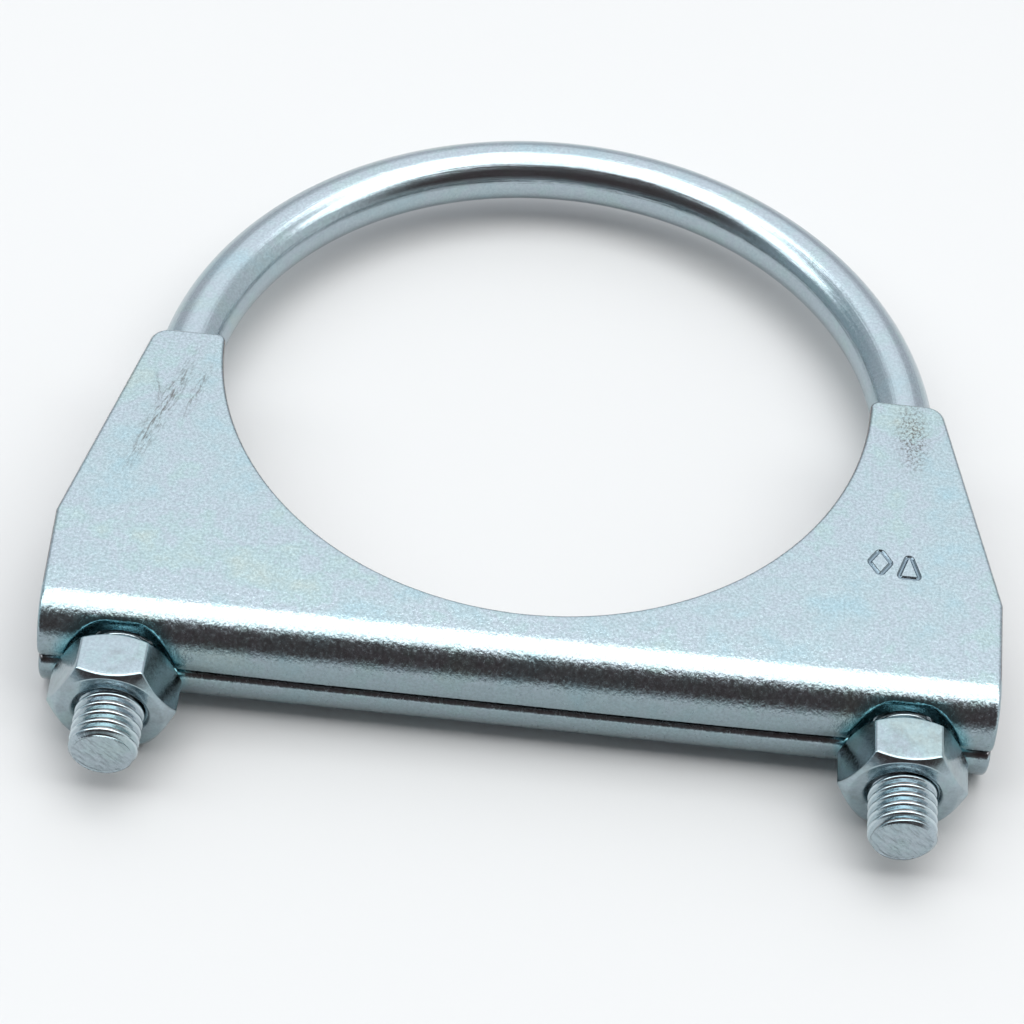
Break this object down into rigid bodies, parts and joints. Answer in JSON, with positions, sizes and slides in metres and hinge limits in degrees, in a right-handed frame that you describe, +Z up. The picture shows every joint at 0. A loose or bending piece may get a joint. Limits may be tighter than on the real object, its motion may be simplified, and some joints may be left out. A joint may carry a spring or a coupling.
{
  "type": "u-bolt clamp",
  "caption": "Zinc-plated exhaust pipe clamp: a round-rod U-bolt with threaded legs through a pressed channel saddle, drawn up by hexagon nuts.",
  "frame": {"origin": "middle of the bounding box in X and Y, at the height of the saddle's lower face, on which the clamp lies", "axes": "+Z up, along the axis of the clamped pipe; +Y along the legs, towards the closed end of the U-bolt; +X from the left leg to the right leg, seen from the nuts with +Z up"},
  "size_m": [0.1106, 0.1072, 0.014],
  "materials": {
    "zinc_rod": "bright zinc plate, drawn rod, semi-gloss",
    "zinc_sheet": "bright zinc plate on pressed sheet, satin with fine grain",
    "zinc_nut": "bright zinc plate, semi-gloss"
  },
  "bodies": {
    "u_bolt": {"u_bolt": "zinc_rod"},
    "saddle": {"saddle": "zinc_sheet"},
    "nut_left": {"nut_left": "zinc_nut"},
    "nut_right": {"nut_right": "zinc_nut"}
  },
  "joints": [
    {"name": "saddle_slide", "type": "slide", "parent": "u_bolt", "child": "saddle", "axis": [0, 1, 0], "range_m": [-0.0055, 0.022]},
    {"name": "nut_left_turn", "type": "hinge", "parent": "saddle", "child": "nut_left", "pos_m": [-0.04545, -0.0437, 0.007], "axis": [0, 1, 0], "range_deg": [-1585, 6337]},
    {"name": "nut_right_turn", "type": "hinge", "parent": "saddle", "child": "nut_right", "pos_m": [0.04465, -0.0439, 0.007], "axis": [0, 1, 0], "range_deg": [-1585, 6337]}
  ],
  "couplings": [
    {"joint": "nut_left_turn", "follows": "saddle_slide", "rad_per_m": 5026.5},
    {"joint": "nut_right_turn", "follows": "saddle_slide", "rad_per_m": 5026.5}
  ]
}
